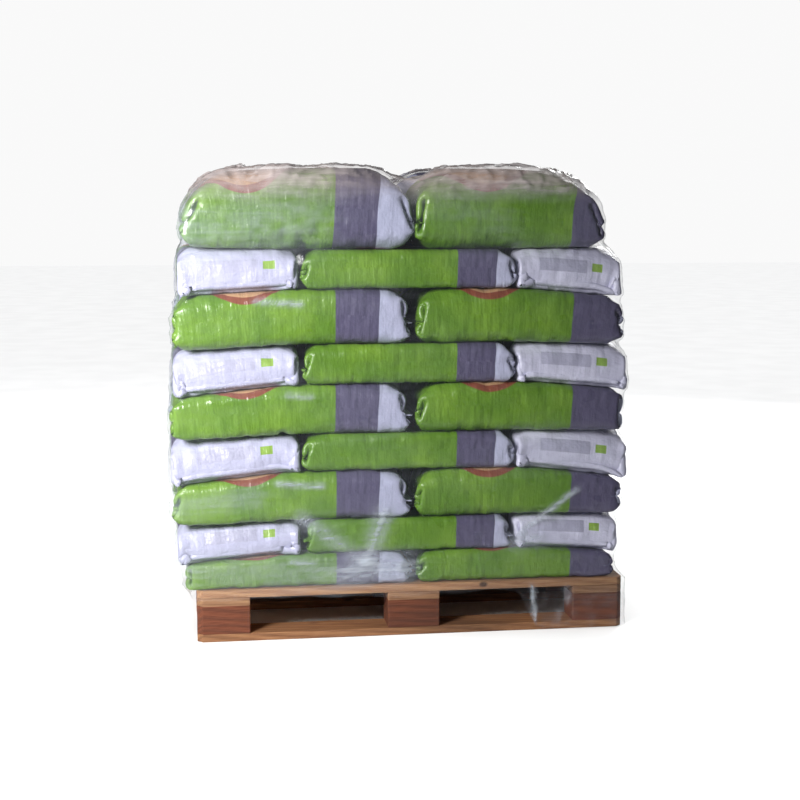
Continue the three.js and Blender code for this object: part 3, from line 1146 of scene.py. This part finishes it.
@dataclass
class Load:
    """All the sacks, layer by layer.

    front and back are the load's sides. joint is where two lengthwise sacks of a row meet, and reach is how
    much further to the left the odd layers go. cross_inner is where the crosswise sacks of the even layers
    end, and cross_length how far back they go.
    """

    profile: LoadProfile = field(default_factory=LoadProfile)
    front: float = -0.393
    back: float = 0.393
    joint: float = 0.004
    reach: float = 0.012
    roll: float = 0.035
    cross_inner: Span = (-0.313, 0.291)
    cross_length: float = 0.685
    half_gap: float = 0.00015
    steps: int = 120
    quick_steps: int = 40

    def sacks(self) -> list[FilledSack]:
        """Lists the sacks of every layer with their spaces.

        Returns:
            The sacks, in the order of their seeds.
        """
        gap = self.half_gap
        rows = {"front": (self.front, -gap), "back": (gap, self.back)}
        made: list[FilledSack] = []

        def add(layer: int, spot: str, x: Span, y: Span, heading: Heading, roll: float = 0.0) -> None:
            """Adds one sack, seeded by its place in the list."""
            name, seed = f"sack_{layer}_{spot}", len(made) + 1
            made.append(FilledSack(name, layer, x, y, heading, BANDS[spot], seed, self.profile, roll=roll))

        for layer, (left, right) in enumerate(self.profile.ends, start=1):
            if layer % 2:
                to_joint, from_joint = (left - self.reach, self.joint - gap), (self.joint + gap, right)
                add(layer, "front_left", to_joint, rows["front"], Heading.RIGHT)
                add(layer, "front_right", from_joint, rows["front"], Heading.RIGHT)
                add(layer, "back_left", to_joint, rows["back"], Heading.LEFT)
                add(layer, "back_right", from_joint, rows["back"], Heading.LEFT)
                continue
            inner_left, inner_right = self.cross_inner
            cross = (self.front, self.front + self.cross_length)
            middle = (inner_left + 2 * gap, inner_right - 2 * gap)
            add(layer, "left", (left, inner_left), cross, Heading.FRONT)
            add(layer, "right", (inner_right, right), cross, Heading.FRONT)
            add(layer, "front_middle", middle, rows["front"], Heading.RIGHT, self.roll)
            add(layer, "back_middle", middle, rows["back"], Heading.LEFT, self.roll)
        return made

    def build(self) -> Array:
        """Builds every sack.

        Returns:
            All points of the sacks, one row each.
        """
        films = {
            # Painted shade: the lengthwise sacks' white ends, which face along the load away from the light,
            # get darker whites than the crosswise sacks' lit ends.
            LENGTHWISE: SackFinish("painted_shade_sack_film", white="a6a9c2", right_painted_light_white="b2b4cd").material(),
            CROSSWISE: SackFinish("sack_film").material(),
        }
        steps = self.steps
        return np.vstack([sack.build(films[sack.cut], steps).reshape(-1, 3) for sack in self.sacks()])


@dataclass(frozen=True)
class Gather:
    """A strand of milky film on the front of the load, from one point of x and z to another: mostly bunched
    film, and in some places a painted highlight.
    """

    start: Span
    end: Span
    width: float
    haze: float
    ridge: float

    def nearness(self, x: Array, z: Array) -> Array:
        """exp(-(distance to the line / width)^2), fading past the line's ends.

        Args:
            x: where along the front.
            z: how high.

        Returns:
            The nearness from 0 to 1.
        """
        way = np.array(self.end) - np.array(self.start)
        length = math.hypot(*way)
        share = ((x - self.start[0]) * way[0] + (z - self.start[1]) * way[1]) / length**2
        held = np.clip(share, 0, 1)
        off = np.hypot(x - self.start[0] - held * way[0], z - self.start[1] - held * way[1])
        return np.exp(-((off / self.width) ** 2))

    def across(self, x: Array, z: Array) -> Array:
        """How far a point lies to the side of the line, in widths.

        Args:
            x: where along the front.
            z: how high.

        Returns:
            The signed distance.
        """
        way = np.array(self.end) - np.array(self.start)
        side = (x - self.start[0]) * way[1] - (z - self.start[1]) * way[0]
        return side / math.hypot(*way) / self.width


@dataclass(frozen=True)
class Wrinkles:
    """Heights of the film's wrinkles in metres, and how milky it is, from 0 for clear to 1.

    Of two numbers, the first is a level and the second is what clouds add to it. Of three, they are a level,
    what crests add and what large waves add.
    """

    fine: float = 0.0008
    low: float = 0.0025
    top: Place = (0.004, 0.006, 0.003)
    least_top: float = 0.001
    tail: float = 0.003
    haze: Span = (0.034, 0.015)
    top_haze: Place = (0.44, 0.16, 0.05)
    thin_haze: float = 0.5
    tail_haze: float = 0.05
    haze_between: Span = (0.02, 0.9)


@dataclass
class StretchFilm:
    """The film round the load: a sheet that touches the sacks where they bulge and spans the grooves.

    A place on it is given by u, how far round the load it is, w, how far up, and d, how far out. Round the
    load, points fan out from an upright rectangular core. Up the load, w is the height up to the pivot, then
    the turn round the pivot, and then the way in over the top.

    pivot is how far out of the core and how high the turn's centre lies. bridging is how far a cell below it
    is raised towards its neighbours. closing is how long the blend is before the way round closes. taut are
    the heights between which the corner is pulled straight. tail is where along the front the hanging tail
    starts, is whole, starts to end and ends, and thin is the same of the thin stretch on top. top_from are
    the shares of the turn at which the top starts and is whole. front_reach is how far past its right and
    left corner the front counts. deck_points are the points a side of the deck's outline and its levels.
    """

    centre_x: float = -0.018
    core: Span = (0.40, 0.17)
    round_radius: float = 0.225
    pivot: Span = (0.135, 1.185)
    shoulder: float = 0.09
    over_top: float = 0.105
    cells: tuple[int, int] = (400, 178)
    mesh: tuple[int, int] = (440, 200)
    clearance: float = 0.0025
    bridging: float = 0.6
    suction: float = 0.00025
    steps: int = 1200
    start_spread: int = 14
    closing: float = 0.4
    taut: Span = (0.16, 0.63)
    taut_reach: float = 0.16
    foot: float = 0.116
    foot_wave: float = 0.004
    tail: tuple[float, float, float, float] = (0.285, 0.36, 0.90, 1.10)
    tail_foot: float = 0.004
    tail_top: Span = (0.09, 0.125)
    rim_drop: float = 0.03
    rim_wave: float = 0.022
    thin: tuple[float, float, float, float] = (-0.27, -0.20, -0.07, 0.0)
    top_from: Span = (0.02, 0.6)
    low_reach: float = 0.06
    front_reach: Span = (0.1, 0.25)
    seam_reach: float = 0.3
    ridge_scale: Span = (1.4, 9.0)
    deck_points: tuple[int, int] = (240, 40)
    wrinkles: Wrinkles = Wrinkles()
    gathers: tuple[Gather, ...] = (
        Gather((-0.310, 0.335), (-0.150, 0.225), 0.020, 0.38, 0.003),
        Gather((-0.085, 0.345), (-0.125, 0.225), 0.026, 0.48, 0.004),
        Gather((-0.170, 0.180), (-0.020, 0.195), 0.034, 0.48, 0.006),
        Gather((0.457, 0.398), (0.300, 0.272), 0.009, 0.62, 0.004),
        Gather((0.360, 0.262), (0.290, 0.252), 0.022, 0.34, 0.003),
        Gather((-0.600, 0.205), (-0.220, 0.180), 0.045, 0.24, 0.002),
        Gather((-0.590, 0.375), (-0.440, 0.400), 0.030, 0.20, 0.002),
        Gather((-0.560, 1.130), (-0.300, 1.150), 0.085, 0.22, 0.0005),
        # The next four thin strands on the left sacks' shoulders are painted highlights: milky haze laid
        # where the shoulders catch the light, over a small real ridge.
        Gather((-0.430, 0.935), (-0.310, 0.925), 0.009, 0.42, 0.002),
        Gather((-0.345, 0.679), (-0.285, 0.673), 0.009, 0.40, 0.002),
        Gather((-0.375, 0.436), (-0.255, 0.427), 0.009, 0.42, 0.002),
        Gather((-0.340, 0.217), (-0.280, 0.211), 0.008, 0.30, 0.002),
        Gather((0.160, 1.243), (0.420, 1.236), 0.013, 0.30, 0.005),
        Gather((0.080, 1.190), (0.240, 1.150), 0.050, 0.10, 0.0005),
        Gather((0.338, 0.125), (0.346, 0.004), 0.006, 0.75, 0.005),
        # The next two small patches over the right block are painted glints: milky haze with a small bump
        # where the film catches the light.
        Gather((0.432, 0.118), (0.440, 0.080), 0.010, 0.30, 0.004),
        Gather((0.415, 0.052), (0.405, 0.022), 0.009, 0.20, 0.003),
    )

    def __post_init__(self) -> None:
        """Works out the knots of the way round, where it goes from straight to turn and back."""
        long_side, short_side = 2 * self.core[0], 2 * self.core[1]
        turn = math.pi / 2 * self.round_radius
        self.knots = np.cumsum([0.0, long_side, turn, short_side, turn, long_side, turn, short_side, turn])
        self.length = float(self.knots[-1])
        self.height = self.pivot[1] + self.shoulder * math.pi / 2 + self.over_top

    def unroll(self, points: Array) -> tuple[Array, Array, Array]:
        """Turns points of the room into u, w and d.

        The nearest point of the core gives the direction out. Each straight of the core adds what has been
        passed of it to u, and the direction's angle adds its arc.

        Args:
            points: points, one row each.

        Returns:
            u, w and d of each point.
        """
        x, y, z = points[:, 0] - self.centre_x, points[:, 1], points[:, 2]
        hx, hy = self.core
        qx, qy = np.clip(x, -hx, hx), np.clip(y, -hy, hy)
        angle = np.arctan2(y - qy, x - qx)
        angle = np.where(angle < -np.pi / 2, angle + 2 * np.pi, angle)
        u = self.round_radius * (angle + np.pi / 2)
        u += np.where(angle >= np.pi / 2, 2 * hx, qx + hx) + np.where(angle >= np.pi, 2 * hy, qy + hy)
        u += np.where(angle >= np.pi / 2, hx - qx, 0) + np.where(angle >= np.pi, hy - qy, 0)
        out, up = np.hypot(x - qx, y - qy) - self.pivot[0], z - self.pivot[1]
        turned = self.pivot[1] + self.shoulder * np.arctan2(up, out)
        inward = self.pivot[1] + self.shoulder * np.pi / 2 - out
        w = np.where(up < 0, z, np.where(out < 0, inward, turned))
        d = np.where(up < 0, out, np.where(out < 0, up, np.hypot(out, up)))
        return u, w, d

    def roll(self, u: Array, w: Array, d: Array) -> Array:
        """Turns u, w and d back into points of the room.

        The corners of the core and the angle out follow u by straight stretches between the knots.

        Args:
            u: way round.
            w: way up.
            d: distance out.

        Returns:
            Points, of the shape of u and 3.
        """
        hx, hy = self.core
        quarter = np.pi / 2
        angle = np.interp(u, self.knots, quarter * np.array([-1, -1, 0, 0, 1, 1, 2, 2, 3]))
        qx = np.interp(u, self.knots, hx * np.array([-1, 1, 1, 1, 1, -1, -1, -1, -1]))
        qy = np.interp(u, self.knots, hy * np.array([-1, -1, -1, 1, 1, 1, 1, -1, -1]))
        turn = np.clip((w - self.pivot[1]) / self.shoulder, 0, quarter)
        out = self.pivot[0] + d * np.cos(turn) - np.maximum(w - self.pivot[1] - self.shoulder * quarter, 0)
        z = np.minimum(w, self.pivot[1]) + d * np.sin(turn)
        return np.stack([self.centre_x + qx + out * np.cos(angle), qy + out * np.sin(angle), z], -1)

    def _outline_of_deck(self) -> Array:
        """Points of the pallet's upright sides, on which the foot of the film lies.

        Returns:
            Points, one row each, on the levels of an upright rectangle.
        """
        a_side, levels = self.deck_points
        low, high = np.array(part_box("bearer_left")[0]), np.array(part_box("bearer_right")[1])
        share = np.linspace(0, 1, a_side)
        x, y = low[0] + (high[0] - low[0]) * share, low[1] + (high[1] - low[1]) * share
        sides = [np.column_stack([x, np.full_like(x, side)]) for side in (low[1], high[1])]
        sides += [np.column_stack([np.full_like(y, side), y]) for side in (low[0], high[0])]
        outline = np.vstack(sides)
        deck_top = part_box("deck_board_1")[1][2]
        heights = np.linspace(0, deck_top, levels)
        flat = np.tile(outline, (len(heights), 1))
        return np.column_stack([flat, np.repeat(heights, len(outline))])

    def drape(self, load: Array) -> Array:
        """Works out d over all cells of u and w.

        The obstacle is the furthest point of the load in each cell, raised towards its neighbours' furthest.
        The film starts well outside, and each step replaces d by the mean of its neighbours less a little
        suction, but never by less than the obstacle. On a turn of radius r, a straight chord lies
        r (angle step)^2 / 2 inside the mean along it, and half of that is taken off, for one way of two.

        Args:
            load: points of the sacks, one row each.

        Returns:
            d, of shape cells.
        """
        u, w, d = self.unroll(np.vstack([load, self._outline_of_deck()]))
        across, up = self.cells
        iu = np.floor(u / self.length * across).astype(int) % across
        iw = np.floor(w / self.height * up).astype(int)
        kept = (iw >= 0) & (iw < up)
        obstacle = np.full(self.cells, -1.0)
        np.maximum.at(obstacle, (iu[kept], iw[kept]), d[kept])
        near = self._widened(obstacle, 1)
        heights = (np.arange(up) + 0.5) * self.height / up
        share = np.where(heights > self.pivot[1], 1.0, self.bridging)
        obstacle = np.where(obstacle < 0, near, obstacle + share * (near - obstacle))
        film = self._widened(obstacle, self.start_spread)
        obstacle += self.clearance
        step = self.length / across
        centres = (np.arange(across) + 0.5) * step
        on_turn = (np.searchsorted(self.knots, centres) % 2 == 0)[:, None]
        rounding = (heights > self.pivot[1]) & (heights < self.pivot[1] + self.shoulder * np.pi / 2)
        turn_u = on_turn * (step / self.round_radius) ** 2 / 4
        turn_w = rounding[None, :] * (self.height / up / self.shoulder) ** 2 / 4
        for _ in range(self.steps):
            around = (np.roll(film, 1, 0) + np.roll(film, -1, 0)) / 2
            padded = np.pad(film, ((0, 0), (1, 1)), mode="edge")
            along = (padded[:, 2:] + padded[:, :-2]) / 2
            mean = (around + along) / 2 - turn_u * (film + self.pivot[0]) - turn_w * film
            film = np.maximum(obstacle, mean - self.suction)
        return self._pulled_straight(film, centres, heights)

    def _pulled_straight(self, film: Array, centres: Array, heights: Array) -> Array:
        """Pulls the film straight at the front left corner, from the load's belly down to the deck.

        Args:
            film: d of all cells.
            centres: u of the columns of cells.
            heights: w of the rows of cells.

        Returns:
            d, raised to the chord between the two heights, fully on the corner and less to both sides of it.
        """
        low, high = (int(np.searchsorted(heights, level)) for level in self.taut)
        share = (heights[low:high] - heights[low]) / (heights[high] - heights[low])
        chord = film[:, low : low + 1] * (1 - share) + film[:, high : high + 1] * share
        corner = (self.knots[-2] + self.knots[-1]) / 2
        near = np.exp(-(((centres - corner) / self.taut_reach) ** 2))[:, None]
        film[:, low:high] += near * np.maximum(chord - film[:, low:high], 0)
        return film

    def _widened(self, cells: Array, times: int) -> Array:
        """Replaces each cell by the largest of itself and its eight neighbours.

        Args:
            cells: values of all cells.
            times: how many times over.

        Returns:
            The new values.
        """
        for _ in range(times):
            cells = np.maximum.reduce([cells, np.roll(cells, 1, 0), np.roll(cells, -1, 0)])
            padded = np.pad(cells, ((0, 0), (1, 1)), mode="edge")
            cells = np.maximum.reduce([cells, padded[:, 2:], padded[:, :-2]])
        return cells

    def _sample(self, film: Array, u: Array, w: Array) -> Array:
        """Value between the centres of four cells, each weighed by how near it is along u and along w.

        Args:
            film: values of all cells.
            u: way round.
            w: way up.

        Returns:
            The value at each place.
        """
        across, up = self.cells
        a = u / self.length * across - 0.5
        b = np.clip(w / self.height * up - 0.5, 0, up - 1.001)
        a0, b0 = np.floor(a).astype(int), np.floor(b).astype(int)
        fa, fb = a - a0, b - b0
        low = film[a0 % across, b0] * (1 - fa) + film[(a0 + 1) % across, b0] * fa
        high = film[a0 % across, b0 + 1] * (1 - fa) + film[(a0 + 1) % across, b0 + 1] * fa
        return low * (1 - fb) + high * fb

    def build(self, load: Array) -> bpy.types.Object:
        """Drapes the film over the load, wrinkles it and makes it a piece.

        Args:
            load: points of the sacks, one row each.

        Returns:
            The film's object.
        """
        around, rows = self.mesh
        u = (np.arange(around) / around * self.length)[:, None]
        share = np.linspace(0, 1, rows)[None, :]
        foot, rim = self._foot(u), self._rim(u)
        w = foot + (rim - foot) * share
        u = u + 0 * w
        d = self._sample(self.drape(load), u, w)
        d, haze = self._wrinkled(u, w, d)
        points = self.roll(u, w, d)
        i, j = np.meshgrid(np.arange(around), np.arange(rows - 1), indexing="ij")
        after = (i + 1) % around
        quads = np.stack([i * rows + j, after * rows + j, after * rows + j + 1, i * rows + j + 1], -1)
        film = make_object("wound_film", points, quads.reshape(-1, 4))
        this_u, next_u, next_w = u[:, :-1], (u + self.length / around)[:, :-1], np.roll(w, -1, 0)
        corners = [this_u, w[:, :-1], next_u, next_w[:, :-1], next_u, next_w[:, 1:], this_u, w[:, 1:]]
        add_map(film, FILM_MAP, np.stack(corners, -1).reshape(-1, 2))
        add_value(film, HAZE, haze)
        film.data.materials.append(FilmFinish().material())
        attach(film, BODY)
        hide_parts("stretch_film")
        log.info("stretch film: %.2f m round, %.2f m up and over", self.length, self.height)
        return film

    def _foot(self, u: Array) -> Array:
        """Height of the lower edge: wavy along the deck, and low at the tail by the front right corner.

        Args:
            u: way round.

        Returns:
            The height at each u.
        """
        start, full, last, end = self.tail
        x = u - self.core[0] + self.centre_x
        hang = smoothstep(start, full, x) * (1 - smoothstep(last, end, x))
        wave = self.foot_wave * self._closed(Waves(71, 0.12, 0.6), u, 0 * u)
        tail_foot = self.tail_foot + self.foot_wave * np.sin(x * 40) ** 2
        return (self.foot + wave) * (1 - hang) + tail_foot * hang

    def _rim(self, u: Array) -> Array:
        """How far up the upper edge lies: a torn, wavy edge on top of the load."""
        return self.height - self.rim_drop - self.rim_wave * self._closed(Waves(72, 0.08, 0.7), u, 0 * u)

    def _closed(self, waves: Waves, u: Array, w: Array, stretch: float = 1.0) -> Array:
        """The waves' field, blended at the end of the way round into what it is one round earlier.

        Args:
            waves: the field.
            u: way round.
            w: way up.
            stretch: what u is multiplied by.

        Returns:
            f(u) (1 - k) + f(u - length) k, where k rises from 0 to 1 before the end.
        """
        k = smoothstep(self.length - self.closing, self.length, u)
        return waves.at(u * stretch, w) * (1 - k) + waves.at((u - self.length) * stretch, w) * k

    def _wrinkled(self, u: Array, w: Array, d: Array) -> tuple[Array, Array]:
        """Adds wrinkles to d and works out how milky the film is.

        Fine wrinkles run round the load, as 1 - |waves|, so that they have sharp crests. On top of the load
        they are large and run every way, and the film is thinner over one stretch. Its tail has folds.

        Args:
            u: way round.
            w: way up.
            d: distance out.

        Returns:
            The new d, and the haze from 0 to 1.
        """
        turn = self.shoulder * np.pi / 2
        on_top = smoothstep(*(self.pivot[1] + share * turn for share in self.top_from), w)
        low = 1 - smoothstep(self.foot, self.foot + self.low_reach, w)
        fine = np.maximum(1 - np.abs(self._closed(Waves(81, 0.02, 0.08, 48), u, w, 0.3)), 0)
        crumple = np.maximum(1 - np.abs(self._closed(Waves(82, 0.04, 0.16, 48), u, w)), 0)
        large = self._closed(Waves(83, 0.10, 0.35), u, w)
        cloudy = self._closed(Waves(84, 0.15, 0.9), u, w, 0.5)
        size = self.wrinkles
        lift, top_haze = (a + b * crumple + c * large for a, b, c in (size.top, size.top_haze))
        d = d + size.fine * fine + on_top * np.maximum(lift, size.least_top) + low * size.low * crumple
        x, (start, full, last, end) = u - self.core[0] + self.centre_x, self.thin
        thin = smoothstep(start, full, x) * (1 - smoothstep(last, end, x))
        haze = size.haze[0] + size.haze[1] * cloudy + on_top * top_haze * (1 - size.thin_haze * thin)
        d, haze = self._gathered(u, w, d, haze)
        tail = 1 - smoothstep(*self.tail_top, w)
        folds = 1 - np.abs(self._closed(Waves(85, 0.02, 0.07, 40), u, w * 0.3))
        haze = haze + tail * size.tail_haze * folds
        return d + tail * size.tail * folds, np.clip(haze, *size.haze_between)

    def _gathered(self, u: Array, w: Array, d: Array, haze: Array) -> tuple[Array, Array]:
        """Adds each gather's ridges and its haze, times the nearness to its line, on the front alone.

        Args:
            u: way round.
            w: way up.
            d: distance out.
            haze: how milky the film is.

        Returns:
            The new d and haze.
        """
        past_right, past_left = self.front_reach
        front = (u < self.knots[1] + past_right) | (u > self.knots[-1] - past_left)
        round_back = np.where(u > self.knots[-1] - self.seam_reach, self.length, 0)
        x = u - self.core[0] + self.centre_x - round_back
        for number, gather in enumerate(self.gathers):
            near = gather.nearness(x, w) * front
            places = (gather.across(x, w) * self.ridge_scale[0], x * self.ridge_scale[1])
            ridges = 1 - np.abs(Waves(90 + number, 0.4, 1.6).at(*places))
            d = d + near * gather.ridge * (0.5 + 0.5 * ridges)
            haze = haze + near * gather.haze * (0.75 + 0.25 * ridges)
        return d, haze


def main() -> None:
    """Builds the studio, the pallet and its load."""
    logging.basicConfig(level=logging.INFO, format="%(name)s: %(message)s")
    Studio().build()
    Pallet().build()
    StretchFilm().build(Load().build())
    bpy.context.view_layer.update()


if __name__ == "__main__":
    main()
